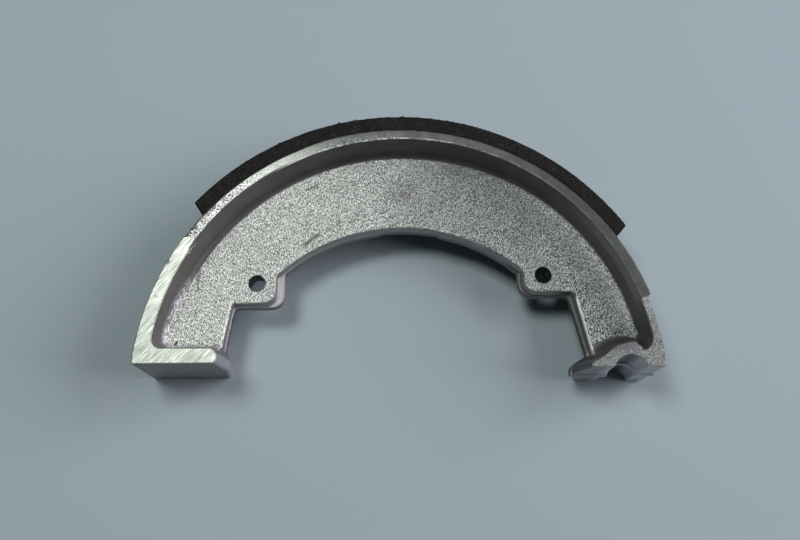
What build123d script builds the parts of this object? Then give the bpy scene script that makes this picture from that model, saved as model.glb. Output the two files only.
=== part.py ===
"""Brake shoe of a small leading and trailing shoe drum brake, lying on its side.

An aluminium casting carries a bonded friction lining.  The shoe is worked out
about the axis of its drum, which is the Z axis.  Z runs across the width of the
shoe, +Y points through the middle of the lining, the cam end is on -X and the
pivot end is on +X.  The origin is on the drum axis, level with the lower side.
"""

from build123d import *

import os
from math import acos, atan2, cos, degrees, hypot, radians, sin, sqrt, tan

# ---------------------------------------------------------------- whole shoe
shoe_width = 28.6  # across the rim, along the drum axis
rim_radius = 83.5  # turned seat that the lining is bonded to
rim_wall = 3.4  # rim thickness at the crown, at its open edge
rim_inner_x, rim_inner_y = 0.6, 1.1  # the inner arc is struck from beside the drum axis
frame_draft = 7.0  # draft of the rim and foot walls, degrees
pocket_fillet_radius = 2.2  # where the web runs into the walls
fillet_steps = 4
fillet_overlap = 0.05  # the fillet runs out inside the wall

# ---------------------------------------------------------------------- web
web_thickness = 7.0
web_crown_depth = 30.9  # from the turned rim to the arc that clears the hub
web_arc_radius = 60.5
web_arc_x = 0.6
web_edge_draft = 14.0  # slope of the free edge, degrees
web_edge_break = 0.3

# Two ears hold the return springs.  Each hangs below the web arc.
ear_side_x = 40.8  # hub side of both ears, from the drum axis
ear_corner_radius = 4.3
cam_ear_drop = 9.3  # length of the ear's hub side, from the web arc down
pivot_ear_drop = 7.2
spring_hole_diameter = 5.4
cam_hole_inset, cam_hole_rise = 6.3, 6.8  # from the ear's hub side and lower edge
pivot_hole_inset, pivot_hole_rise = 6.6, 5.7

# Two legs run from the ears to the ends of the shoe.
cam_leg_top_depth = 28.3  # free edge beside the ear, from the turned rim
cam_leg_foot_depth = 25.3  # free edge where it meets the foot
pivot_leg_top_reach = 14.0  # free edge beside the ear, from the seat axis
pivot_leg_foot_reach = 9.2
leg_corner_radius = 1.6

# ----------------------------------------------------------------- cam foot
cam_face_y = 5.3  # ground face that the cam pushes on
foot_thickness = 5.1
foot_length = 26.4  # from the turned rim to the end beside the hub
foot_nose_radius = 2.6
foot_face_corner = 1.2
foot_pocket_corner = 3.2  # plan radius between foot and rim, at the side face
rim_end_corner = 0.7

# ---------------------------------------------------------------- pivot end
seat_inset = 12.3  # from the turned rim to the axis of the half round seat
seat_y = 1.5
seat_radius = 5.45
boss_radius = 9.3  # back of the boss, about the seat axis, at the side face
boss_draft = 12.0
pivot_face_y = 3.1
toe_reach = 12.3  # from the seat axis to the tip of the toe, beside the hub
toe_thickness = 1.3  # from the pivot face to the shoulder of the tip
toe_mid_thickness = 2.3  # the same, at mid height
toe_draft = 16.0
toe_tip_radius = 0.7
toe_face_corner = 0.6
toe_back_angle = 141.0  # where the toe's back joins the boss, about the seat axis
boss_pocket_corner = 3.2
scoop_right, scoop_back = 3.4, 10.7  # round corner of the pocket, from the seat axis
scoop_radius = 4.1
seat_lip_round = 0.8
pivot_corner_round = 1.0

# The pivot end is left as cast: outside the turned zone it stands back a little.
turned_end_angle = 18.3  # end of the turned zone, degrees from +X
cast_rim_step = 1.2
cast_side_step = 0.3

# The back of the boss is bevelled, from just behind the seat to the pocket.
bevel_start = 6.8  # behind the seat axis
bevel_slope = 28.0
bevel_reach = 4.4  # towards the rim, from the seat axis

# ------------------------------------------------------------ parting land
# The flash of the casting is sheared off along the hub side and leaves a land.
land_thickness = 2.6
land_face_reach = 0.4  # beyond the web edge, on edges that face the hub
land_cam_ear_reach = 1.9  # on the sides of the ears and legs
land_pivot_ear_reach = 0.9
land_cam_leg_reach = 0.1
land_pivot_leg_reach = 1.0
land_toe_reach = 0.4
land_seat_reach = 0.7
gate_start_x, gate_end_x = -6.5, 13.5  # land cut back where the gate was
gate_depth = 0.5

# ------------------------------------------------------------------- lining
lining_thickness = 5.0
lining_side_inset = 0.3
lining_start_angle = 33.2  # at the rim, pivot side
lining_end_angle = 139.6  # at the rim, cam side
lining_end_slope = 13.0  # ends lean in from the radius, degrees



def half_chord(radius, offset):
    """Half of the chord of a circle that passes at an offset from its centre."""
    return sqrt(radius**2 - offset**2)


# ---------------------------------------------------- worked out from above
mid_height = shoe_width / 2
web_top = mid_height + web_thickness / 2
web_arc_y = rim_radius - web_crown_depth - web_arc_radius
cam_ear_y = web_arc_y + half_chord(web_arc_radius, ear_side_x + web_arc_x) - cam_ear_drop
pivot_ear_y = web_arc_y + half_chord(web_arc_radius, ear_side_x - web_arc_x) - pivot_ear_drop
cam_hole_x, cam_hole_y = -ear_side_x - cam_hole_inset, cam_ear_y + cam_hole_rise
pivot_hole_x, pivot_hole_y = ear_side_x + pivot_hole_inset, pivot_ear_y + pivot_hole_rise
seat_x = rim_radius - seat_inset
foot_nose_x = foot_length - rim_radius
cam_leg_top_x = cam_leg_top_depth - rim_radius
cam_leg_foot_x = cam_leg_foot_depth - rim_radius
pivot_leg_top_x = seat_x - pivot_leg_top_reach
pivot_leg_foot_x = seat_x - pivot_leg_foot_reach
toe_x = seat_x - toe_reach
web_edge_run = web_thickness / 2 * tan(radians(web_edge_draft))
rim_inner_radius = rim_radius - rim_wall - rim_inner_y
pivot_end_radius = rim_radius - cast_rim_step
foot_inner_y = cam_face_y + foot_thickness
spare_metal = 3.0  # taken off by the turned and ground faces
base_y = min(cam_face_y, pivot_face_y) - spare_metal
mid_plane = Plane.XY.offset(mid_height)
side_plane = Plane.XY.offset(shoe_width)
steepness = 0.7  # rise over length of an edge that counts as steep


def polar(radius, angle, x=0.0, y=0.0):
    """Point at a radius and an angle in degrees about (x, y)."""
    return (x + radius * cos(radians(angle)), y + radius * sin(radians(angle)))


def draft_run(height, angle):
    """How far a drafted wall stands out from its plan at the side face."""
    return (shoe_width - height) * tan(radians(angle))


def rim_meets_boss(inner, boss):
    """Upper crossing of an arc about the rim's inner centre and one about the seat."""
    gap_x, gap_y = seat_x - rim_inner_x, seat_y - rim_inner_y
    gap = hypot(gap_x, gap_y)
    along = (inner**2 - boss**2 + gap**2) / (2 * gap)
    turn = atan2(gap_y, gap_x) + acos(along / inner)
    return polar(inner, degrees(turn), rim_inner_x, rim_inner_y)


def corner(sketch_builder, point):
    """The sketch vertex that lies nearest to a point."""
    return sketch_builder.vertices().sort_by_distance((*point, 0))[0]


def steep_edge(part_builder, x, y):
    """The steep edge of the upper half that passes nearest to (x, y)."""
    steep = part_builder.edges().filter_by(lambda edge: abs(edge.tangent_at(0.5).Z) > steepness)
    return steep.sort_by_distance((x, y, (mid_height + shoe_width) / 2))[0]


def wall_plan(height, spread=0.0):
    """Plan of the wall that winds from the foot, along the rim, to the toe.

    The walls are drafted, so the plan grows from the side face to mid height.
    spread moves the inner side further into the pocket.
    """
    run = draft_run(height, frame_draft) + spread
    toe_run = draft_run(height, toe_draft) + spread
    outer = rim_radius + spare_metal
    inner = rim_inner_radius - run
    boss = boss_radius + draft_run(height, boss_draft) + spread
    foot_y = foot_inner_y + run
    nose = (foot_nose_x + run, foot_y)
    depth = (shoe_width - height) / mid_height
    tip_thickness = toe_thickness + (toe_mid_thickness - toe_thickness) * depth
    toe = (toe_x - toe_run, pivot_face_y + tip_thickness + spread / 2)
    heel = polar(boss, toe_back_angle, seat_x, seat_y)
    foot_pocket = (rim_inner_x - half_chord(inner, foot_y - rim_inner_y), foot_y)
    boss_pocket = rim_meets_boss(inner, boss)
    end_x = half_chord(outer, base_y)
    with BuildSketch() as plan:
        with BuildLine():
            ThreePointArc((-end_x, base_y), (0, outer), (end_x, base_y))
            Polyline((end_x, base_y), (toe[0], base_y), toe, heel)
            ThreePointArc(heel, (seat_x, seat_y + boss), boss_pocket)
            ThreePointArc(boss_pocket, (rim_inner_x, rim_inner_y + inner), foot_pocket)
            Polyline(foot_pocket, nose, (nose[0], base_y), (-end_x, base_y))
        make_face()
        fillet(corner(plan, nose), foot_nose_radius + run)
        fillet(corner(plan, toe), toe_tip_radius + toe_run / 2)
        fillet(corner(plan, foot_pocket), foot_pocket_corner)
        fillet(corner(plan, boss_pocket), boss_pocket_corner)
    return plan.sketch


def scoop_floor_centre(height):
    """Centre of the pocket's round corner between boss and rim at a height."""
    inner = rim_inner_radius - draft_run(height, frame_draft) - boss_pocket_corner
    boss = boss_radius + draft_run(height, boss_draft) + boss_pocket_corner
    return rim_meets_boss(inner, boss)


def outer_plan(pivot_y):
    """Plan inside the turned rim, the ground cam face and the pivot end face."""
    turned_end = polar(rim_radius, turned_end_angle)
    cast_start = polar(pivot_end_radius, turned_end_angle)
    cast_middle = polar(pivot_end_radius, turned_end_angle / 2)
    cam_corner = (-half_chord(rim_radius, cam_face_y), cam_face_y)
    pivot_corner = (half_chord(pivot_end_radius, pivot_y), pivot_y)
    with BuildSketch() as plan:
        with BuildLine():
            ThreePointArc(cam_corner, (0, rim_radius), turned_end)
            Line(turned_end, cast_start)
            ThreePointArc(cast_start, cast_middle, pivot_corner)
            Polyline(pivot_corner, (0, pivot_y), (0, cam_face_y), cam_corner)
        make_face()
    return plan.sketch


def web_plan(run, land=0.0):
    """Plan of the web.  Its hub side runs from the foot round to the toe.

    run moves every free edge away from the metal.  land adds that share of the
    parting land's own reach.
    """
    buried = rim_radius - rim_wall / 2
    face_reach = run + land * land_face_reach
    arc_radius = web_arc_radius - face_reach
    cam_ear_x = ear_side_x - run - land * land_cam_ear_reach
    pivot_ear_x = ear_side_x - run - land * land_pivot_ear_reach
    cam_leg_shift = run + land * land_cam_leg_reach
    pivot_leg_shift = run + land * land_pivot_leg_reach
    foot_y = foot_inner_y - foot_thickness / 2
    boss_y = seat_y + (seat_radius + boss_radius) / 2
    cam_side = (-cam_ear_x, web_arc_y + half_chord(arc_radius, cam_ear_x + web_arc_x))
    pivot_side = (pivot_ear_x, web_arc_y + half_chord(arc_radius, pivot_ear_x - web_arc_x))
    cam_ear = (-cam_ear_x, cam_ear_y - face_reach)
    pivot_ear = (pivot_ear_x, pivot_ear_y - face_reach)
    cam_leg = (cam_leg_top_x + cam_leg_shift, cam_ear_y - face_reach)
    pivot_leg = (pivot_leg_top_x - pivot_leg_shift, pivot_ear_y - face_reach)
    cam_foot = (cam_leg_foot_x + cam_leg_shift, foot_y)
    pivot_foot = (pivot_leg_foot_x - pivot_leg_shift, boss_y)
    cam_end = (-half_chord(buried, foot_y), foot_y)
    pivot_end = (half_chord(buried, boss_y), boss_y)
    with BuildSketch() as plan:
        with BuildLine():
            ThreePointArc(cam_end, (0, buried), pivot_end)
            Polyline(pivot_end, pivot_foot, pivot_leg, pivot_ear, pivot_side)
            ThreePointArc(pivot_side, (web_arc_x, web_arc_y + arc_radius), cam_side)
            Polyline(cam_side, cam_ear, cam_leg, cam_foot, cam_end)
        make_face()
        for ear in (cam_ear, pivot_ear):
            fillet(corner(plan, ear), ear_corner_radius)
        for leg in (cam_leg, pivot_leg):
            fillet(corner(plan, leg), leg_corner_radius)
    return plan.sketch


# ======================================================= pocket floor fillet
# Where the walls stand on the web they spread out in a quarter round.
with BuildPart() as pocket_fillet:
    for step in range(fillet_steps + 1):
        turn = radians(90 * step / fillet_steps)
        rise = pocket_fillet_radius * (1 - cos(turn))
        spread = pocket_fillet_radius * (1 - sin(turn)) - fillet_overlap
        height = web_top + rise
        with BuildSketch(Plane.XY.offset(height)):
            add(wall_plan(height, spread))
    loft(ruled=True)
    with BuildSketch(Plane.XY.offset(web_top)):
        add(web_plan(0.0))
    extrude(amount=pocket_fillet_radius, mode=Mode.INTERSECT)

# ============================================================= parting land
# Flash sheared off along the parting line, round the hub side of the casting.
land_arc_radius = web_arc_radius - web_edge_run - land_face_reach
with BuildPart() as parting_land:
    with BuildSketch(mid_plane):
        add(wall_plan(mid_height, land_toe_reach))
        # Of the walls, only those on the pivot side have a land.
        pivot_half = Plane((rim_radius, base_y, 0))
        with Locations(pivot_half):
            Rectangle(rim_radius * 2, rim_radius * 4, mode=Mode.INTERSECT)
        add(web_plan(web_edge_run, land=1.0))
        with Locations((seat_x, seat_y)):
            Circle(seat_radius - land_seat_reach, mode=Mode.SUBTRACT)
    extrude(amount=land_thickness / 2, both=True)
    with BuildSketch(mid_plane):
        add(outer_plan(pivot_face_y - land_seat_reach))
    extrude(amount=land_thickness, both=True, mode=Mode.INTERSECT)
    # The gate was broken off near the crown and dressed back.
    with BuildSketch(mid_plane):
        with Locations((web_arc_x, web_arc_y)):
            Circle(land_arc_radius + gate_depth)
        with Locations(((gate_start_x + gate_end_x) / 2, land_arc_radius)):
            Rectangle(gate_end_x - gate_start_x, land_arc_radius, mode=Mode.INTERSECT)
    extrude(amount=land_thickness, both=True, mode=Mode.SUBTRACT)

# ============================================================ shoe casting
with BuildPart() as shoe_casting:
    # Upper half of the rim, foot and boss, drafted from mid height up.
    for height in (mid_height, shoe_width):
        with BuildSketch(Plane.XY.offset(height)):
            add(wall_plan(height))
    loft(ruled=True)

    # Upper half of the web, drafted at its free edge and broken at its top.
    for height, run in (
        (mid_height, web_edge_run),
        (web_top - web_edge_break, 0.0),
        (web_top, -web_edge_break),
    ):
        with BuildSketch(Plane.XY.offset(height)):
            add(web_plan(run))
    loft(ruled=True)
    add(pocket_fillet.part)
    with BuildSketch(mid_plane):
        add(outer_plan(pivot_face_y))
    extrude(amount=mid_height, mode=Mode.INTERSECT)

    # Half round seat for the pivot pin.
    with BuildSketch(mid_plane):
        with Locations((seat_x, seat_y)):
            Circle(seat_radius)
    extrude(amount=mid_height, mode=Mode.SUBTRACT)

    # Corners of the foot, the toe, the seat and the pivot end.
    fillet(steep_edge(shoe_casting, foot_nose_x, cam_face_y), foot_face_corner)
    fillet(steep_edge(shoe_casting, toe_x, pivot_face_y), toe_face_corner)
    fillet(steep_edge(shoe_casting, -rim_radius, cam_face_y), rim_end_corner)
    fillet(steep_edge(shoe_casting, pivot_end_radius, pivot_face_y), pivot_corner_round)
    seat_edge = half_chord(seat_radius, pivot_face_y - seat_y)
    for lip_x in (seat_x - seat_edge, seat_x + seat_edge):
        fillet(steep_edge(shoe_casting, lip_x, pivot_face_y), seat_lip_round)

    # The pivot end is as cast, a little below the ground side faces, and the
    # back of its boss falls away on a slope.
    with BuildSketch(side_plane):
        Polygon(
            (0, 0),
            polar(rim_radius * 2, -turned_end_angle),
            polar(rim_radius * 2, turned_end_angle),
            align=None,
        )
    extrude(amount=-cast_side_step, mode=Mode.SUBTRACT)
    bevel = radians(bevel_slope)
    bevel_plane = Plane(
        origin=(seat_x, seat_y + bevel_start, shoe_width - cast_side_step),
        x_dir=(1, 0, 0),
        z_dir=(0, sin(bevel), cos(bevel)),
    )
    with BuildSketch(bevel_plane):
        with Locations((bevel_reach, 0)):
            Rectangle(boss_radius * 3, boss_radius, align=(Align.MAX, Align.MIN))
    extrude(amount=boss_radius, mode=Mode.SUBTRACT)

    # A round scoop opens the pocket between the boss and the rim.
    scoop_floor = web_top + pocket_fillet_radius
    with BuildSketch(Plane.XY.offset(scoop_floor)):
        with Locations(scoop_floor_centre(scoop_floor)):
            Circle(boss_pocket_corner)
    with BuildSketch(side_plane):
        with Locations((seat_x + scoop_right, seat_y + scoop_back)):
            Circle(scoop_radius)
    loft(mode=Mode.SUBTRACT)

    mirror(about=mid_plane)
    add(parting_land.part)

    # Holes for the return springs.
    with Locations((cam_hole_x, cam_hole_y, mid_height), (pivot_hole_x, pivot_hole_y, mid_height)):
        Hole(spring_hole_diameter / 2, shoe_width)

# ======================================================== friction lining
# Moulded lining, bonded to the rim.  Its ends are cut leaning in.
lining_radius = rim_radius + lining_thickness
lean = degrees(lining_thickness * tan(radians(lining_end_slope)) / lining_radius)
lining_middle = (lining_start_angle + lining_end_angle) / 2
with BuildPart() as friction_lining:
    with BuildSketch(Plane.XY.offset(lining_side_inset)):
        with BuildLine():
            ThreePointArc(
                polar(rim_radius, lining_start_angle),
                polar(rim_radius, lining_middle),
                polar(rim_radius, lining_end_angle),
            )
            Line(
                polar(rim_radius, lining_end_angle),
                polar(lining_radius, lining_end_angle - lean),
            )
            ThreePointArc(
                polar(lining_radius, lining_end_angle - lean),
                polar(lining_radius, lining_middle),
                polar(lining_radius, lining_start_angle + lean),
            )
            Line(
                polar(lining_radius, lining_start_angle + lean),
                polar(rim_radius, lining_start_angle),
            )
        make_face()
    extrude(amount=shoe_width - 2 * lining_side_inset)

# ================================================================== export
shoe_casting.part.label = "shoe_casting"
friction_lining.part.label = "friction_lining"
os.makedirs("parts", exist_ok=True)
export_step(shoe_casting.part, "parts/shoe_casting.step")
export_step(friction_lining.part, "parts/friction_lining.step")
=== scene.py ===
from math import radians

import bmesh
import bpy
import numpy as np
from mathutils import Matrix, Vector


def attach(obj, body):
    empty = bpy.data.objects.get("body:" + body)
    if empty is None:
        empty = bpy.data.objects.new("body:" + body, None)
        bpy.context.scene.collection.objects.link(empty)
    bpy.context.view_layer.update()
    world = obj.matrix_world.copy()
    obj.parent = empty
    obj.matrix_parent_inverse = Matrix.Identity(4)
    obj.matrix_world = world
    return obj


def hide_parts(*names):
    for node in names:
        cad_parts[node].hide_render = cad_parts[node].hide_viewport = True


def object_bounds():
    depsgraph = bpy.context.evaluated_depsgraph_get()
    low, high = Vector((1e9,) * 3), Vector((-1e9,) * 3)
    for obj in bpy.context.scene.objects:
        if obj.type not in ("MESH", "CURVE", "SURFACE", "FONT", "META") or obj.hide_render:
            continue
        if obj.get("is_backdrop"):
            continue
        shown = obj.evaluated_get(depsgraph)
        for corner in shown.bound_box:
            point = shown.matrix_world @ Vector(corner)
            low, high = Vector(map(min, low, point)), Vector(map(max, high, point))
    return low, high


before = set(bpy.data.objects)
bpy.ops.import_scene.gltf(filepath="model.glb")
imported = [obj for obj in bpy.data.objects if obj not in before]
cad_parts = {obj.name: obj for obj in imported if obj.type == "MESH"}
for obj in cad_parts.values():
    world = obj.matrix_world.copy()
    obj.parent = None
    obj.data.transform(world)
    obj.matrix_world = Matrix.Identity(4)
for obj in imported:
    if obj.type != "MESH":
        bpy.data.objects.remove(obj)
cad_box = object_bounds()

# ======================================================================
# Shoe casting: one piece of die cast aluminium, a T-section arch that
# carries the lining.  Its skin is grainy as cast.  The foot and part of
# the rim are ground, and the seat of the lining is turned.
# ======================================================================
mm = 0.001
middle = 14.3 * mm  # half of the shoe's width
side_face = 2 * middle
web_half = 3.5 * mm  # half of the web's thickness
rim_seat = 83.5 * mm  # radius of the turned rim
rim_inner_radius = 79.0 * mm
cam_face = 5.3 * mm  # ground face of the foot, above the drum axis in plan

# Places in plan are in millimetres, and angles in degrees about the drum axis from +X.
rim_inner_centre = (0.6, 1.1)
seat_centre = (71.2, 1.5)
spring_holes = ((-47.1, 33.7), (47.4, 35.8))
notch_angle = 145.4  # where the grinding of the foot and rim ends
rough_end_angle = 104.0  # where the rough stretch of the rim fades out
rough_fade = 22.0  # degrees over which it fades
cast_end_angle = 18.3  # start of the as-cast pivot end

# The skin is the plain shape remeshed in fine cells, smoothed, shaped and then thinned.
weld_distance = 0.002 * mm
skin_voxel = 0.34 * mm
skin_smooth_passes = 3
skin_triangles = 190000

# Layers of lumps: size and height in millimetres, and a seed.
cast_lumps = ((7.0, 0.05, 1), (1.6, 0.025, 2))
edge_lumps = ((2.2, 0.10, 3), (0.9, 0.05, 4))
rough_lumps = ((0.8, 0.09, 5),)
rough_drop, rough_corner_drop = 0.12 * mm, 0.3 * mm

# The round scoop beside the boss is narrower than in the plain shape.
scoop_centre = (72.0, 11.0)
scoop_shift = (2.6, 0.4)

# Folds where the metal froze too soon, a scratch, and a crease beside the rim: start
# and end in plan, width and depth.
folds = (
    ((-32.2, 46.6), (-26.6, 51.0), 1.1, 0.16),
    ((-24.9, 51.5), (-18.6, 55.4), 0.7, 0.08),
    ((-15.9, 55.0), (-13.0, 59.2), 0.8, 0.10),
    ((-31.9, 66.1), (-26.8, 68.8), 0.5, 0.16),
    ((-66.6, 37.8), (-66.3, 30.8), 0.8, 0.13),
)

# Pits and pores in the corner of the pocket, on the ground rim and by its step:
# centre and radius.
pits = (
    ((-72.3, 14.0, 18.0), 0.6),
    ((-73.9, 38.0, 28.8), 0.6),
    ((-77.1, 26.6, 28.8), 0.4),
    ((79.2, 23.7, 28.5), 0.8),
    ((-68.9, 47.4, 28.7), 0.9),
)


def merged_copy(node, name):
    """A new object with the node's mesh, its loose triangles merged."""
    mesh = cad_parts[node].data.copy()
    mesh.name = name
    mesh.materials.clear()
    shell = bmesh.new()
    shell.from_mesh(mesh)
    bmesh.ops.remove_doubles(shell, verts=shell.verts, dist=weld_distance)
    bmesh.ops.recalc_face_normals(shell, faces=shell.faces)
    shell.to_mesh(mesh)
    shell.free()
    piece = bpy.data.objects.new(name, mesh)
    bpy.context.scene.collection.objects.link(piece)
    return piece


def apply_modifier(piece, kind, **settings):
    """Adds one modifier, puts its result into the mesh and takes it off."""
    modifier = piece.modifiers.new(kind.lower(), kind)
    for key, value in settings.items():
        setattr(modifier, key, value)
    bpy.context.view_layer.update()
    shaped = piece.evaluated_get(bpy.context.evaluated_depsgraph_get())
    mesh = bpy.data.meshes.new_from_object(shaped)
    piece.modifiers.clear()
    old = piece.data
    piece.data = mesh
    bpy.data.meshes.remove(old)
    mesh.name = piece.name


def get_points(piece):
    """The mesh's vertices and their normals, as two arrays of rows."""
    count = len(piece.data.vertices) * 3
    points = np.empty(count, dtype=np.float32)
    normals = np.empty(count, dtype=np.float32)
    piece.data.vertices.foreach_get("co", points)
    piece.data.vertex_normals.foreach_get("vector", normals)
    return points.reshape(-1, 3).astype(float), normals.reshape(-1, 3).astype(float)


def set_points(piece, points):
    """Puts an array of rows back into the mesh and shades it smooth."""
    piece.data.vertices.foreach_set("co", points.astype(np.float32).ravel())
    smooth = np.ones(len(piece.data.polygons), dtype=bool)
    piece.data.polygons.foreach_set("use_smooth", smooth)
    piece.data.update()


def ramp(values, low, high):
    """0 below low, 1 above high, and 3t^2 - 2t^3 between.  low may be above high."""
    t = np.clip((values - low) / (high - low), 0, 1)
    return t * t * (3 - 2 * t)


def lumps(points, size, seed):
    """Value noise from -1 to 1: random numbers on a cubic lattice with cells of the
    given size, blended between the eight corners of each cell by 3t^2 - 2t^3."""
    side = 64
    table = np.random.default_rng(seed).uniform(-1, 1, (side, side, side))
    scaled = points / size
    cell = np.floor(scaled).astype(int)
    blend = scaled - cell
    blend = blend * blend * (3 - 2 * blend)
    total = np.zeros(len(points))
    for corner in np.ndindex(2, 2, 2):
        weight = np.prod(np.where(corner, blend, 1 - blend), axis=1)
        at = (cell + corner) % side
        total += weight * table[at[:, 0], at[:, 1], at[:, 2]]
    return total


def waves(points, layers):
    """The sum of layers of lumps.  A layer is a size and a height in millimetres, and a seed."""
    return sum(tall * mm * lumps(points, size * mm, seed) for size, tall, seed in layers)


def near_line(points, start, end, width):
    """1 on the segment from start to end in plan, falling to 0 at the given width."""
    start, end = np.array(start) * mm, np.array(end) * mm
    run = end - start
    t = np.clip(((points[:, :2] - start) @ run) / (run @ run), 0, 1)
    away = np.linalg.norm(points[:, :2] - start - t[:, None] * run, axis=1)
    return ramp(away, width * mm, 0)


def bowl(points, centre, size):
    """Pushes the points inside a sphere out on to it, which leaves a round pit."""
    away = points - np.array(centre) * mm
    distance = np.linalg.norm(away, axis=1, keepdims=True)
    inside = distance[:, 0] < size * mm
    points[inside] += away[inside] * (size * mm / np.maximum(distance[inside], 1e-7) - 1)


casting_skin = merged_copy("shoe_casting", "casting_skin")
apply_modifier(casting_skin, "REMESH", mode="VOXEL", voxel_size=skin_voxel)
apply_modifier(casting_skin, "SMOOTH", factor=0.5, iterations=skin_smooth_passes)
points, normals = get_points(casting_skin)
x, y, z = points.T
radius = np.hypot(x, y)
angle = np.degrees(np.arctan2(y, x))
height = np.abs(z - middle)
steep = ramp(np.abs(normals[:, 2]), 0.8, 0.5)
upper = ramp(z, middle, middle + 1 * mm)
cast = 1 - np.maximum.reduce([
    ramp(height, middle - 0.35 * mm, middle - 0.15 * mm),
    ramp(radius, rim_seat - 0.4 * mm, rim_seat - 0.2 * mm),
    ramp(y, cam_face + 0.4 * mm, cam_face + 0.1 * mm) * (x < 0),
])

# The cast skin is wavy, and the free edge on the hub side is bumpier.  The rim beyond
# the grinding is rough and a little lower, with its outer corner rounded off.
free_edge = steep * ramp(height, web_half + 0.4 * mm, web_half) * ramp(radius, 76 * mm, 74 * mm)
rough = ramp(angle, notch_angle + 0.3, notch_angle - 0.3)
rough *= ramp(angle, rough_end_angle, rough_end_angle + rough_fade)
rough *= upper * ramp(z, side_face - 2.6 * mm, side_face - 0.6 * mm)
corner = ramp(radius, rim_seat - 2.2 * mm, rim_seat) * ramp(angle, 128, 140)
move = cast * waves(points, cast_lumps)
move += free_edge * waves(points, edge_lumps)
move += rough * waves(points, rough_lumps)
points += normals * move[:, None]
points[:, 2] -= rough * (rough_drop + rough_corner_drop * corner)

from_scoop = np.linalg.norm(points[:, :2] - np.array(scoop_centre) * mm, axis=1)
narrowed = ramp(from_scoop, 6 * mm, 1.5 * mm) * ramp(points[:, 1], 7.5 * mm, 9.5 * mm)
points[:, :2] += narrowed[:, None] * np.array(scoop_shift) * mm

on_web = upper * (1 - steep) * ramp(height, web_half + 1.5 * mm, web_half + 0.5 * mm)
for start, end, width, depth in folds:
    points[:, 2] -= on_web * near_line(points, start, end, width) * depth * mm
for centre, size in pits:
    bowl(points, centre, size)
set_points(casting_skin, points)
share = skin_triangles / (2 * len(casting_skin.data.polygons))
apply_modifier(casting_skin, "DECIMATE", ratio=share)
set_points(casting_skin, get_points(casting_skin)[0])


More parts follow.
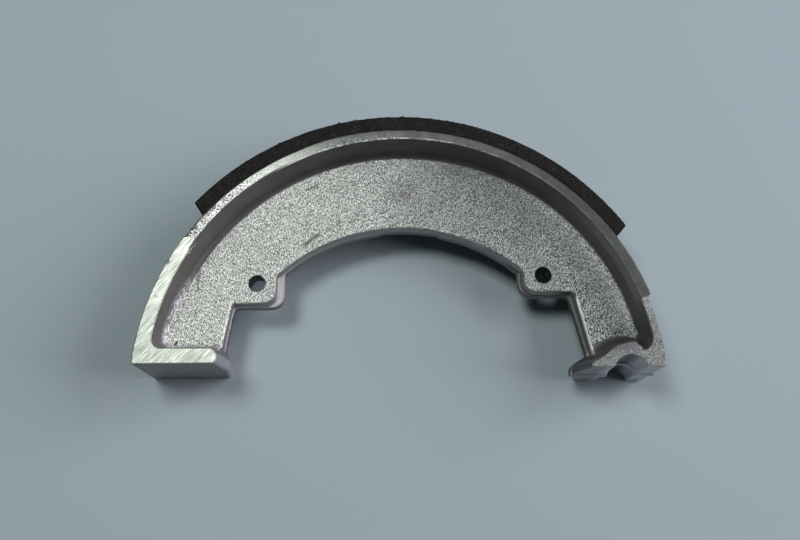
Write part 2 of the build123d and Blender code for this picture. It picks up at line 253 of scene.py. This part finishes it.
class Nodes:
    """Writes a node graph as sums: each call makes one node and returns its output."""

    def __init__(self, material):
        material.use_nodes = True
        self.tree = material.node_tree
        self.shader = self.tree.nodes["Principled BSDF"]
        self.place = self.add("ShaderNodeTexCoord").outputs["Object"]
        self.x, self.y, self.z = self.split(self.place)
        normal = self.add("ShaderNodeNewGeometry").outputs["Normal"]
        self.nx, self.ny, self.nz = self.split(normal)

    def add(self, kind, **settings):
        """A new node with the given settings."""
        node = self.tree.nodes.new(kind)
        for key, value in settings.items():
            setattr(node, key, value)
        return node

    def put(self, socket, value):
        """Links an output to the socket, or sets the socket to a number or a colour."""
        if isinstance(value, bpy.types.NodeSocket):
            self.tree.links.new(value, socket)
        elif isinstance(value, tuple):
            socket.default_value = (*value, 1)
        else:
            socket.default_value = value

    def split(self, vector):
        """The three parts of a vector."""
        node = self.add("ShaderNodeSeparateXYZ")
        self.put(node.inputs[0], vector)
        return node.outputs

    def join(self, x, y, z):
        """A vector made of three parts."""
        node = self.add("ShaderNodeCombineXYZ")
        for socket, value in zip(node.inputs, (x, y, z)):
            self.put(socket, value)
        return node.outputs[0]

    def math(self, operation, *values):
        """The result of one operation on outputs and numbers."""
        node = self.add("ShaderNodeMath", operation=operation)
        for socket, value in zip(node.inputs, values):
            self.put(socket, value)
        return node.outputs[0]

    def times(self, *values):
        """The product of all values."""
        total = values[0]
        for value in values[1:]:
            total = self.math("MULTIPLY", total, value)
        return total

    def plus(self, *values):
        """The sum of all values."""
        total = values[0]
        for value in values[1:]:
            total = self.math("ADD", total, value)
        return total

    def absolute(self, value):
        """The value without its sign."""
        return self.math("ABSOLUTE", value)

    def away_from(self, centre):
        """Distance in plan from a point, which is in millimetres."""
        node = self.add("ShaderNodeVectorMath", operation="LENGTH")
        away = self.join(self.plus(self.x, -centre[0] * mm), self.plus(self.y, -centre[1] * mm), 0.0)
        self.put(node.inputs[0], away)
        return node.outputs["Value"]

    def ramp(self, value, low, high, start=0.0, end=1.0):
        """start at low, end at high, level beyond them and a smooth step between.  low may
        be above high."""
        node = self.add("ShaderNodeMapRange", interpolation_type="SMOOTHSTEP")
        if low > high:
            low, high, start, end = high, low, end, start
        for socket, number in zip(node.inputs, (value, low, high, start, end)):
            self.put(socket, number)
        return node.outputs[0]

    def window(self, value, start, full, fade, end):
        """0 below start and above end, 1 from full to fade, and smooth steps between."""
        return self.times(self.ramp(value, start, full), self.ramp(value, end, fade))

    def noise(self, size, detail=2.0, place=None, rough=0.5):
        """Cloudy noise about 0.5, with lumps of the given size."""
        node = self.add("ShaderNodeTexNoise")
        self.put(node.inputs["Vector"], place or self.place)
        self.put(node.inputs["Scale"], 1 / size)
        self.put(node.inputs["Detail"], detail)
        self.put(node.inputs["Roughness"], rough)
        return node.outputs[0]

    def cells(self, size, place):
        """Distance to the nearest of scattered points, in cells of the given size."""
        node = self.add("ShaderNodeTexVoronoi")
        self.put(node.inputs["Vector"], place)
        self.put(node.inputs["Scale"], 1 / size)
        return node.outputs["Distance"]

    def mix(self, share, first, second):
        """Blends two colours by a share from 0 to 1."""
        node = self.add("ShaderNodeMix", data_type="RGBA")
        for socket, value in ((0, share), (6, first), (7, second)):
            self.put(node.inputs[socket], value)
        return node.outputs[2]

    def blend(self, share, first, second):
        """Blends two numbers by a share from 0 to 1."""
        node = self.add("ShaderNodeMix", data_type="FLOAT")
        for socket, value in ((0, share), (2, first), (3, second)):
            self.put(node.inputs[socket], value)
        return node.outputs[0]

    def paint(self, colour, *coats):
        """Lays coats over a colour, one after another.  A coat is a share and a colour."""
        for share, coat in coats:
            colour = self.mix(share, colour, coat)
        return colour

    def spot(self, centre, size):
        """1 about a point in plan, falling to 0 at the given size."""
        return self.ramp(self.away_from(centre), size * mm, size * mm * 0.5)

    def stroke(self, start, end, width):
        """1 on a wavering line from start to end in plan, falling to 0 at the given width."""
        run = np.subtract(end, start)
        long = np.hypot(*run)
        run = run / long
        side = (-run[1], run[0])
        along = self.plus(
            self.times(self.x, run[0] / mm), self.times(self.y, run[1] / mm), -np.dot(run, start),
        )
        across = self.plus(
            self.times(self.x, side[0] / mm), self.times(self.y, side[1] / mm), -np.dot(side, start),
            self.times(self.noise(1.6 * mm), 1.6), -0.8,
        )
        return self.times(
            self.ramp(self.absolute(across), width, 0.0),
            self.window(along, -width, width, long - width, long + width),
        )

    def bump(self, relief, distance):
        """Lights the surface as if the relief stood out by the given distance."""
        node = self.add("ShaderNodeBump")
        self.put(node.inputs["Height"], relief)
        self.put(node.inputs["Distance"], distance)
        self.put(self.shader.inputs["Normal"], node.outputs[0])


class CastingNodes(Nodes):
    """Adds what the casting's faces are told apart by: the height from the middle plane,
    the radius and angle about the drum axis, the distances from the rim's inner centre
    and from the pivot seat, and a share that is 1 on level faces and 0 on walls."""

    def __init__(self, material):
        super().__init__(material)
        self.height = self.absolute(self.math("SUBTRACT", self.z, middle))
        self.radius = self.away_from((0.0, 0.0))
        self.angle = self.times(self.math("ARCTAN2", self.y, self.x), 180 / np.pi)
        self.from_rim = self.away_from(rim_inner_centre)
        self.from_seat = self.away_from(seat_centre)
        self.level = self.ramp(self.absolute(self.nz), 0.55, 0.85)


def ground_finish(n):
    """Colour, roughness and relief of the side faces.  The foot and the rim beside it are
    ground, with slanting marks.  Past the notch the rim is rough and pitted, then dull as
    far as the pivot end."""
    slant = radians(47)  # marks run from the lower left to the upper right
    along = n.plus(n.times(n.x, np.cos(slant)), n.times(n.y, np.sin(slant)))
    across = n.plus(
        n.times(n.x, -np.sin(slant)), n.times(n.y, np.cos(slant)),
        n.times(n.noise(9 * mm, 1.0), 0.8 * mm),
    )
    lines = n.noise(0.19 * mm, 2.0, n.join(n.times(along, 0.03), across, 0.0), 0.6)
    hairs = n.noise(0.42 * mm, 0.0, n.join(n.times(along, 0.05), across, 5 * mm))
    shades = n.noise(1.5 * mm, 1.0, n.join(n.times(along, 0.05), across, 0.0))
    # Darker below y 42 mm, most of all at the far left.
    darker_toward_foot = n.times(
        n.ramp(n.y, 42 * mm, 18 * mm, 0.0, 0.6), n.ramp(n.x, -80 * mm, -70 * mm, 1.0, 0.65),
    )
    marked = n.paint(
        n.mix(n.ramp(lines, 0.40, 0.56), (0.23, 0.25, 0.22), (0.53, 0.55, 0.50)),
        (n.ramp(shades, 0.6, 0.35, 0.0, 0.4), (0.22, 0.23, 0.21)),
        (darker_toward_foot, (0.22, 0.24, 0.22)),
        (n.ramp(hairs, 0.62, 0.70, 0.0, 0.65), (0.12, 0.13, 0.115)),
    )

    # Bright crust with dark pits, strongest beside the notch.
    speckle = n.noise(0.5 * mm, 2.0, rough=0.7)
    ragged = n.plus(n.angle, n.times(n.noise(1 * mm), 1.5))
    rough = n.ramp(ragged, notch_angle + 1.3, notch_angle + 0.3)
    pitted = n.mix(
        n.ramp(n.plus(speckle, n.times(n.noise(3 * mm), 0.25)), 0.585, 0.615),
        n.mix(n.ramp(n.angle, 122, 132), (0.36, 0.39, 0.36), (0.05, 0.04, 0.07)),
        n.mix(n.ramp(n.angle, 112, 126), (0.56, 0.59, 0.55), (0.88, 0.90, 0.86)),
    )

    # Dull oxide, with painted shade darkening it towards the pivot end, and pale spots along its
    # inner half.
    dull = n.ramp(n.angle, rough_end_angle + 17.5, rough_end_angle - 2)
    spots = n.times(
        n.ramp(speckle, 0.56, 0.62), n.ramp(n.angle, 84, 100),
        n.ramp(n.from_rim, rim_inner_radius + 3 * mm, rim_inner_radius + 1.2 * mm),
    )
    oxide = n.paint(
        n.mix(n.ramp(n.noise(3 * mm, 3.0), 0.35, 0.65), (0.10, 0.105, 0.103), (0.135, 0.14, 0.138)),
        (n.ramp(n.angle, 75, 40, 0.0, 0.62), (0.05, 0.053, 0.052)),
        (spots, (0.45, 0.47, 0.45)),
    )

    # A bright burr lines the pocket.  Past the notch the inner edge is worn, and the rounded
    # outer edge is darkened by a painted dark reflection.
    patchy = n.plus(n.noise(0.4 * mm, 2.0), n.times(n.noise(5 * mm, 2.0), 0.8))
    burr = n.times(
        n.ramp(n.from_rim, rim_inner_radius + 0.75 * mm, rim_inner_radius + 0.35 * mm),
        n.ramp(patchy, 0.88, 1.0), n.ramp(n.angle, 50, 95, 0.1, 1.0), n.ramp(n.angle, 125, 110),
    )
    inner_edge = n.plus(n.from_rim, n.times(speckle, -0.5 * mm))
    worn = n.times(
        n.ramp(inner_edge, rim_inner_radius + 0.7 * mm, rim_inner_radius + 0.4 * mm),
        n.window(n.angle, 114, 122, 147, 149),
    )
    outer_edge = n.plus(n.radius, n.times(speckle, 0.5 * mm))
    painted_edge_reflection = n.times(
        n.ramp(outer_edge, rim_seat - 0.55 * mm, rim_seat - 0.25 * mm),
        n.window(n.angle, 106, 114, 144.6, 145.6),
    )
    # Painted shade in the pits and scratches on the ground rim.
    painted_pit_shade = n.plus(
        n.spot((-68.7, 47.3), 1.3),
        n.times(n.stroke((-74.1, 38.3), (-73.4, 38.0), 0.5), 0.7),
        n.times(n.stroke((-77.3, 26.2), (-76.8, 27.0), 0.4), 0.4),
    )
    colour = n.paint(
        marked, (rough, pitted), (dull, oxide), (burr, (0.60, 0.62, 0.58)),
        (worn, (0.06, 0.06, 0.063)), (painted_edge_reflection, (0.045, 0.045, 0.05)), (painted_pit_shade, (0.03, 0.03, 0.035)),
    )
    roughness = n.blend(rough, n.ramp(lines, 0.3, 0.7, 0.46, 0.36), 0.5)
    relief = n.blend(rough, n.times(lines, 0.3), speckle)
    return colour, roughness, n.blend(dull, relief, n.times(n.noise(0.6 * mm), 0.15))


def cast_finish(n):
    """Colour and relief of the web and the top of the pivot end: a pebbled skin with dark
    hollows, lightened towards the cam end by painted light.  The bevel behind the seat is smoother
    and paler."""
    lean = n.plus(n.x, n.times(n.y, 0.25))
    drawn_out = n.join(n.times(lean, 1.5), n.times(n.y, 0.58), n.z)
    pebbles = n.noise(0.25 * mm, 2.0, drawn_out, 0.6)
    hollows = n.cells(0.42 * mm, drawn_out)
    grain = n.plus(
        n.times(pebbles, 0.8), n.times(n.math("SUBTRACT", 0.5, hollows), 0.3),
        n.times(n.noise(0.8 * mm), 0.18), -0.09,
    )
    # Painted light: pebbles and hollows are both lighter towards the cam end.
    cam_side = n.ramp(n.x, 52 * mm, -55 * mm)
    # Painted light: a lighter band on the web beside the rim wall.
    painted_light_by_rim = n.times(
        n.ramp(n.from_rim, 68 * mm, 76 * mm),
        n.ramp(n.angle, 66, 50, 0.5, 1.0), n.window(n.angle, 12, 16, 90, 104),
    )
    boss_top = n.times(n.ramp(n.angle, 19, 18), n.ramp(n.height, 13 * mm, 13.6 * mm), 0.78)
    in_hollows = n.paint(
        n.mix(cam_side, (0.035, 0.045, 0.04), (0.18, 0.20, 0.19)),
        (n.times(painted_light_by_rim, 0.85), (0.22, 0.24, 0.23)), (boss_top, (0.12, 0.13, 0.13)),
    )
    on_pebbles = n.paint(
        n.mix(cam_side, (0.64, 0.68, 0.66), (0.94, 0.98, 0.92)),
        (n.times(painted_light_by_rim, 0.7), (1.0, 1.0, 1.0)), (boss_top, (0.22, 0.235, 0.235)),
    )

    # Painted shade darkens the folds and pits.  Smudges and a haze lie over the crown and the pivot
    # ear.
    folded = n.plus(*(
        n.times(n.stroke(start, end, width), depth * 5.5) for start, end, width, depth in folds
    ))
    smudge = n.times(
        n.plus(n.times(n.spot((1.0, 65.5), 5.0), 0.5), n.times(n.spot((19.4, 74.0), 6.0), 0.35)),
        n.ramp(n.noise(2.5 * mm), 0.3, 0.6),
    )
    pore = n.stroke((-72.6, 13.3), (-72.0, 14.7), 0.65)
    skin = n.paint(
        n.mix(n.ramp(grain, 0.37, 0.47), in_hollows, on_pebbles),
        (n.plus(folded, smudge, pore), (0.13, 0.13, 0.115)),
        (pore, (0.045, 0.035, 0.028)),
        (n.spot((79.2, 23.7), 1.0), (0.03, 0.03, 0.03)),
        (n.ramp(n.noise(9 * mm, 4.0), 0.52, 0.72, 0.0, 0.2), (0.20, 0.20, 0.19)),
        # Painted shade over the middle of the web, away from the lamp.
        (n.times(n.spot((24.0, 60.0), 34.0), 0.30), (0.10, 0.105, 0.10)),
        (n.times(n.spot((47.4, 36.0), 9.0), 0.25), (0.22, 0.24, 0.235)),
    )
    bevel = n.mix(n.ramp(pebbles, 0.4, 0.6), (0.26, 0.25, 0.28), (0.37, 0.36, 0.41))
    return skin, bevel, n.plus(pebbles, n.times(hollows, -0.35))


def off_fillets(n):
    """0 on the fillets that lead from the web up to the rim, the foot and the boss, and 1
    on the web and above.  The border wanders a little."""
    above = n.ramp(n.height, 7 * mm, 8 * mm)
    border = n.plus(
        n.ramp(n.angle, 30, 84, 77.7 * mm, 76.35 * mm), n.ramp(n.angle, 153, 166, 0.0, 2.8 * mm),
    )
    past = n.plus(n.from_rim, n.times(border, -1), n.times(n.noise(0.6 * mm), 0.7 * mm), -0.35 * mm)
    return n.times(
        n.math("MAXIMUM", n.ramp(past, 0.2 * mm, -0.2 * mm), above),
        n.math("MAXIMUM", n.ramp(n.from_seat, 13.3 * mm, 13.9 * mm), above),
    )


def wall_finish(n, web):
    """Colour of the walls, fillets and free edges, which are smoother and darker.  Painted shade and
    painted light lie over parts of them.
    """
    inner_wall = n.window(n.from_rim, 72 * mm, 73 * mm, 80.2 * mm, 81 * mm)
    # Painted shade darkens the foot of the inner wall and the wall at the crown; painted light
    # brightens its upper part towards the pivot end.
    low = n.times(n.ramp(n.height, 8 * mm, 5 * mm), inner_wall, n.ramp(n.angle, 150, 136))
    crown = n.times(n.window(n.angle, 76, 97, 116, 152), inner_wall)
    lit = n.times(
        n.window(n.angle, 16, 20, 34, 50), n.ramp(n.height, 9.2 * mm, 10.6 * mm), inner_wall,
    )
    # Painted shade darkens the fillets at the foot of the walls, most by the seat.
    fillet = n.times(n.level, n.math("SUBTRACT", 1.0, web), n.ramp(n.angle, 162, 152))
    painted_fillet_shade = n.paint(
        n.mix(n.ramp(n.angle, 142, 122), (0.075, 0.073, 0.080), (0.125, 0.12, 0.13)),
        (n.ramp(n.from_seat, 16 * mm, 14 * mm), (0.075, 0.078, 0.075)),
    )
    streak = n.times(
        n.window(n.from_seat, 10.4 * mm, 11.2 * mm, 12.2 * mm, 12.9 * mm),
        n.ramp(n.y, 24 * mm, 20 * mm), n.ramp(n.height, 9 * mm, 8 * mm),
    )
    colour = n.paint(
        n.mix(n.ramp(n.noise(9 * mm, 1.0), 0.3, 0.7), (0.135, 0.13, 0.125), (0.16, 0.155, 0.15)),
        (n.times(low, 0.15), (0.05, 0.05, 0.05)),
        (n.times(crown, 0.3), (0.045, 0.047, 0.047)),
        (n.times(lit, 0.65), (0.29, 0.30, 0.285)),
        (fillet, painted_fillet_shade),
        (streak, (0.15, 0.165, 0.15)),
    )

    # Pivot end: painted shade in the pocket beside the boss, then the seat and the toe's faces, with
    # painted shade on the toe's tip.
    pivot = n.times(n.ramp(n.x, 50 * mm, 54 * mm), n.ramp(n.y, 24 * mm, 18 * mm))
    painted_shade_beside_boss = n.times(
        pivot, n.ramp(n.y, 5.5 * mm, 7.5 * mm), n.ramp(n.height, 13 * mm, 12.5 * mm),
    )
    painted_toe_shade = n.times(n.ramp(n.nx, -0.4, -0.7), n.ramp(n.x, 64 * mm, 62 * mm))
    seat_colour = n.paint(
        n.mix(n.ramp(n.x, 62 * mm, 65 * mm), (0.29, 0.295, 0.31), (0.50, 0.51, 0.55)),
        (painted_toe_shade, (0.12, 0.13, 0.13)),
    )

    # Hub side: the sheared land is darker than the drafted edges on both sides of it.
    land = n.ramp(n.height, 1.5 * mm, 1.0 * mm)
    hub_side = n.times(n.ramp(n.radius, 62 * mm, 58 * mm), n.math("SUBTRACT", 1.0, pivot))
    legs = n.times(n.ramp(n.radius, 66 * mm, 63 * mm), n.ramp(n.y, 8 * mm, 9 * mm))
    cam_leg = n.times(legs, n.ramp(n.nx, 0.2, 0.6), n.ramp(n.x, -38 * mm, -46 * mm))
    pivot_leg = n.times(legs, n.ramp(n.nx, -0.2, -0.6), n.ramp(n.x, 50 * mm, 54 * mm))
    ledge = n.times(
        n.level, n.ramp(n.x, 34 * mm, 38 * mm), n.ramp(n.radius, 66 * mm, 63 * mm),
        n.ramp(n.y, 9 * mm, 11 * mm), n.ramp(n.height, 2.6 * mm, 2.2 * mm),
    )

    # Cam end: burrs by the notch, the foot's two faces with painted light on the foot's end, and a
    # painted highlight with a glint on the wall by the pocket's corner.
    burrs = n.times(
        n.window(n.angle, 145.5, 146.5, 149, 150), n.ramp(n.height, 12.9 * mm, 13.3 * mm),
        n.ramp(n.from_rim, 80 * mm, 79.6 * mm), n.ramp(n.noise(0.6 * mm), 0.5, 0.58),
    )
    foot_face = n.times(
        n.ramp(n.ny, -0.5, -0.8), n.ramp(n.x, -50 * mm, -54 * mm), n.ramp(n.y, 7 * mm, 6 * mm),
    )
    # Painted light on the foot's end, on faces turned towards the pivot-side lamp.
    painted_foot_end_light = n.times(
        n.ramp(n.nx, 0.15, 0.4), n.ramp(n.x, 0, -10 * mm), n.ramp(n.y, 9.5 * mm, 8 * mm),
    )
    streaks = n.noise(0.4 * mm, 2.0, n.join(n.x, n.times(n.y, 0.3), n.times(n.z, 0.5)))
    # Painted highlight on the wall by the pocket's corner at the cam end.
    painted_wall_highlight = n.times(
        n.ramp(n.angle, 150, 161), n.ramp(n.height, 8.5 * mm, 5 * mm),
        n.window(n.from_rim, 74 * mm, 75 * mm, 80 * mm, 81 * mm),
        n.ramp(n.y, 10 * mm, 12 * mm), n.ramp(n.z, 0, middle),
    )
    glint = n.times(n.stroke((-75.9, 15.2), (-75.4, 18.8), 0.75), n.ramp(streaks, 0.35, 0.55))
    painted_wall_highlight_colour = n.paint(
        n.mix(n.ramp(streaks, 0.48, 0.6), (0.24, 0.225, 0.26), (0.80, 0.76, 0.84)),
        (glint, (0.95, 0.90, 0.97)),
    )
    # Painted shade inside the spring holes.
    painted_hole_shade = n.ramp(n.math("MINIMUM", *map(n.away_from, spring_holes)), 3.2 * mm, 2.9 * mm)
    return n.paint(
        colour,
        (painted_shade_beside_boss, (0.11, 0.11, 0.105)),
        (n.times(pivot, n.ramp(n.y, 7 * mm, 5.5 * mm)), seat_colour),
        (hub_side, n.mix(land, (0.30, 0.30, 0.305), (0.19, 0.19, 0.195))),
        (cam_leg, n.mix(land, (0.25, 0.24, 0.26), (0.14, 0.135, 0.145))),
        (pivot_leg, n.mix(land, (0.20, 0.205, 0.20), (0.095, 0.095, 0.09))),
        (ledge, (0.07, 0.073, 0.073)),
        (burrs, (0.80, 0.82, 0.75)),
        (foot_face, (0.26, 0.255, 0.24)),
        (painted_foot_end_light, (0.42, 0.42, 0.43)),
        (painted_wall_highlight, painted_wall_highlight_colour),
        (painted_hole_shade, (0.05, 0.05, 0.055)),
    )


def bright_edges(n):
    """1 on the web's upper edge along both legs and, in dashes, on part of the crown.
    A leg's edge is a straight line, given by the direction across it and its distance
    from the drum axis."""
    cam_edge = n.plus(n.times(n.x, -0.978), n.times(n.y, 0.207), -59.45 * mm)
    pivot_edge = n.plus(n.times(n.x, 0.977), n.times(n.y, 0.212), -62.55 * mm)
    crown_edge = n.plus(n.radius, -53.4 * mm)
    dashes = n.ramp(n.noise(0.7 * mm), 0.45, 0.55)
    legs = n.plus(
        n.ramp(n.absolute(pivot_edge), 0.42 * mm, 0.26 * mm),
        n.times(n.ramp(n.absolute(cam_edge), 0.42 * mm, 0.26 * mm), dashes),
    )
    legs = n.times(legs, n.window(n.y, 8 * mm, 10 * mm, 27 * mm, 29 * mm))
    crown = n.times(
        n.ramp(n.absolute(crown_edge), 0.45 * mm, 0.25 * mm), dashes,
        n.window(n.angle, 46, 50, 74, 82), 0.6,
    )
    return n.times(n.plus(legs, crown), n.ramp(n.height, 2.6 * mm, 2.8 * mm))


def cast_aluminium():
    """One alloy in three finishes, told apart by place and slope: ground side faces,
    cast skin on the web and the pivot end, and darker walls."""
    metal = bpy.data.materials.new("cast_aluminium")
    n = CastingNodes(metal)
    side = n.times(
        n.ramp(n.height, middle - 0.5 * mm, middle - 0.42 * mm), n.level,
        n.ramp(n.angle, cast_end_angle - 0.3, cast_end_angle + 0.1),
    )
    bevel = n.times(
        n.ramp(n.absolute(n.ny), 0.25, 0.4), n.ramp(n.x, 56 * mm, 58 * mm), n.level,
        n.ramp(n.height, 8 * mm, 9 * mm), n.ramp(n.x, 66 * mm, 74 * mm),
    )
    web = off_fillets(n)
    skin = n.times(
        n.level, web, n.ramp(n.height, 2.9 * mm, 3.2 * mm), n.math("SUBTRACT", 1.0, bevel),
    )
    side_colour, side_roughness, side_relief = ground_finish(n)
    skin_colour, bevel_colour, skin_relief = cast_finish(n)
    colour = n.paint(
        wall_finish(n, web), (skin, skin_colour), (bevel, bevel_colour),
        (bright_edges(n), (0.85, 0.86, 0.80)), (side, side_colour),
    )
    n.put(n.shader.inputs["Base Color"], colour)
    n.put(n.shader.inputs["Roughness"], n.blend(side, n.blend(skin, 0.5, 0.56), side_roughness))
    n.shader.inputs["Metallic"].default_value = 0.7
    wall_relief = n.times(n.noise(0.7 * mm, 2.0), 0.3)
    n.bump(n.blend(side, n.blend(skin, wall_relief, skin_relief), side_relief), 0.2 * mm)
    return metal


casting_skin.data.materials.append(cast_aluminium())
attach(casting_skin, "root")
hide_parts("shoe_casting")

# ======================================================================
# Friction lining: a strip of moulded friction material, bonded to the
# turned rim.  It is nearly black, with pale and rusty fibres, and its
# edges are a little ragged from the saw.
# ======================================================================
lining_outer = 88.5 * mm  # radius of its outer face
lining_voxel = 0.42 * mm
lining_smooth_passes = 2
lining_lumps = ((1.3, 0.05, 11), (5.0, 0.05, 12))
crumb_size, crumb_height, crumb_seed = 1.1 * mm, 0.25 * mm, 13
burr_angles = (103.0, 99.5, 89.2)
burr_width, burr_height = 0.5 * mm, 0.4 * mm

lining_skin = merged_copy("friction_lining", "lining_skin")
apply_modifier(lining_skin, "REMESH", mode="VOXEL", voxel_size=lining_voxel)
apply_modifier(lining_skin, "SMOOTH", factor=0.5, iterations=lining_smooth_passes)
points, normals = get_points(lining_skin)
x, y, z = points.T
radius = np.hypot(x, y)
angle = np.degrees(np.arctan2(y, x))
outer = ramp(radius, lining_outer - 0.9 * mm, lining_outer - 0.2 * mm)
move = ramp(radius, rim_seat + 0.2 * mm, rim_seat + 0.8 * mm) * waves(points, lining_lumps)
crumbs = ramp(lumps(points, crumb_size, crumb_seed), 0.55, 0.9) * outer
move += crumb_height * crumbs * ramp(z, side_face - 2.1 * mm, side_face - 0.6 * mm)
for burr_angle in burr_angles:
    beside = radius * np.radians(angle - burr_angle) / burr_width
    burr = np.exp(-(beside**2)) * outer * ramp(z, side_face - 2.6 * mm, side_face - 0.6 * mm)
    move += burr_height * burr
set_points(lining_skin, points + normals * move[:, None])


def friction_material():
    """Near black binder, with short pale fibres and a few rusty ones, set by
    thresholds on noise and on scattered points."""
    friction = bpy.data.materials.new("friction_material")
    n = Nodes(friction)
    fibre_place = n.join(n.times(n.x, 1.5), n.times(n.y, 0.6), n.times(n.z, 0.9))
    fibres = n.ramp(n.noise(0.28 * mm, 1.0, fibre_place, 0.6), 0.64, 0.71)
    clumps = n.ramp(n.noise(4 * mm), 0.40, 0.62, 0.2, 1.0)
    rusty = n.ramp(n.cells(2.4 * mm, n.join(n.y, n.z, n.x)), 0.10, 0.05)
    binder = n.ramp(n.noise(1.2 * mm, 3.0), 0.35, 0.65)
    colour = n.paint(
        n.mix(binder, (0.0036, 0.0034, 0.0033), (0.0085, 0.0082, 0.0080)),
        (n.times(fibres, clumps, 0.9), (0.16, 0.16, 0.148)),
        (n.times(rusty, 0.4), (0.13, 0.08, 0.06)),
    )
    n.put(n.shader.inputs["Base Color"], colour)
    n.shader.inputs["Roughness"].default_value = 0.8
    n.shader.inputs["Specular IOR Level"].default_value = 0.2
    n.bump(n.noise(0.5 * mm, 3.0), 0.15 * mm)
    return friction


lining_skin.data.materials.append(friction_material())
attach(lining_skin, "root")
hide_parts("friction_lining")

# ======================================================================
# Bench: the plain pale paper that the shoe lies on.  It is matt, and far
# from the shoe it fades into an even tone.
# ======================================================================
bench_half = 4.0
paper_colour = (0.33, 0.395, 0.435, 1)
distant_colour = (0.30, 0.36, 0.40, 1)  # of the paper far off, and of the backdrop
lamps_fade, lamps_end = 0.26, 0.6  # metres from the shoe

bench_corners = [
    (-bench_half, -bench_half, 0), (bench_half, -bench_half, 0),
    (bench_half, bench_half, 0), (-bench_half, bench_half, 0),
]
bench_mesh = bpy.data.meshes.new("bench")
bench_mesh.from_pydata(bench_corners, [], [(0, 1, 2, 3)])
bench = bpy.data.objects.new("bench", bench_mesh)
bpy.context.scene.collection.objects.link(bench)
paper = bpy.data.materials.new("bench_paper")
n = Nodes(paper)
n.shader.inputs["Base Color"].default_value = paper_colour
n.shader.inputs["Roughness"].default_value = 0.95
n.shader.inputs["Specular IOR Level"].default_value = 0.1
# Far from the shoe, where the lamps no longer reach, the camera sees the paper evenly pale.
distant = n.ramp(n.away_from((0.0, 0.0)), lamps_fade, lamps_end)
even = n.add("ShaderNodeEmission")
even.inputs["Color"].default_value = distant_colour
cover = n.add("ShaderNodeMixShader")
n.put(cover.inputs[0], n.times(distant, n.add("ShaderNodeLightPath").outputs["Is Camera Ray"]))
n.put(cover.inputs[1], n.shader.outputs[0])
n.put(cover.inputs[2], even.outputs[0])
n.put(n.tree.nodes["Material Output"].inputs["Surface"], cover.outputs[0])
bench_mesh.materials.append(paper)
bench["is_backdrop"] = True

# ======================================================================
# Light: a soft box above and behind the cam end, a weaker one behind the
# pivot end, and a dim even room.
# ======================================================================
lamps_aim = Vector((0.0, 0.03, 0.0))
room_strength = 0.05


def soft_box(name, place, size, radiance, tint):
    """A square lamp that faces the shoe.  Its power is radiance times pi times area."""
    lamp = bpy.data.lights.new(name, "AREA")
    lamp.shape = "SQUARE"
    lamp.size = size
    lamp.color = tint
    lamp.energy = radiance * np.pi * size**2
    holder = bpy.data.objects.new(name, lamp)
    bpy.context.scene.collection.objects.link(holder)
    turn = (lamps_aim - Vector(place)).to_track_quat("-Z", "Y").to_matrix().to_4x4()
    holder.matrix_world = Matrix.Translation(place) @ turn


soft_box("cam_side_box", (-0.26, 0.22, 0.90), 0.28, 18.5, (0.96, 1.0, 0.96))
soft_box("pivot_side_box", (0.97, 0.20, 0.62), 0.9, 5.3, (1.0, 0.95, 1.0))
room = bpy.data.worlds.new("room")
bpy.context.scene.world = room
room.use_nodes = True
room_nodes, room_links = room.node_tree.nodes, room.node_tree.links
room_light = room_nodes["Background"]
room_light.inputs["Color"].default_value = (0.93, 0.97, 1.0, 1)
room_light.inputs["Strength"].default_value = room_strength
backdrop = room_nodes.new("ShaderNodeBackground")
backdrop.inputs["Color"].default_value = distant_colour
seen = room_nodes.new("ShaderNodeMixShader")
ray = room_nodes.new("ShaderNodeLightPath")
room_links.new(ray.outputs["Is Camera Ray"], seen.inputs[0])
room_links.new(room_light.outputs[0], seen.inputs[1])
room_links.new(backdrop.outputs[0], seen.inputs[2])
room_links.new(seen.outputs[0], room_nodes["World Output"].inputs["Surface"])

# ======================================================================
# Camera: close above the shoe, a little on the hub side.
# ======================================================================
camera_place = (-4.72 * mm, -41.81 * mm, 290.74 * mm)
yaw, tilt, roll = radians(-3.4), radians(16.31), radians(2.82)

camera = bpy.data.cameras.new("camera")
camera.lens = 38.7
camera.sensor_width = 36.0
camera.clip_start = 0.01
viewer = bpy.data.objects.new("camera", camera)
bpy.context.scene.collection.objects.link(viewer)
turn = Matrix.Rotation(yaw, 4, "Z") @ Matrix.Rotation(tilt, 4, "X") @ Matrix.Rotation(roll, 4, "Z")
viewer.matrix_world = Matrix.Translation(camera_place) @ turn
bpy.context.scene.camera = viewer
bpy.context.scene.view_settings.view_transform = "Standard"

# The boxes of the plain shoe and of the dressed one.
size = {
    "cad": [list(map(float, corner)) for corner in cad_box],
    "visual": [list(map(float, corner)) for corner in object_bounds()],
}
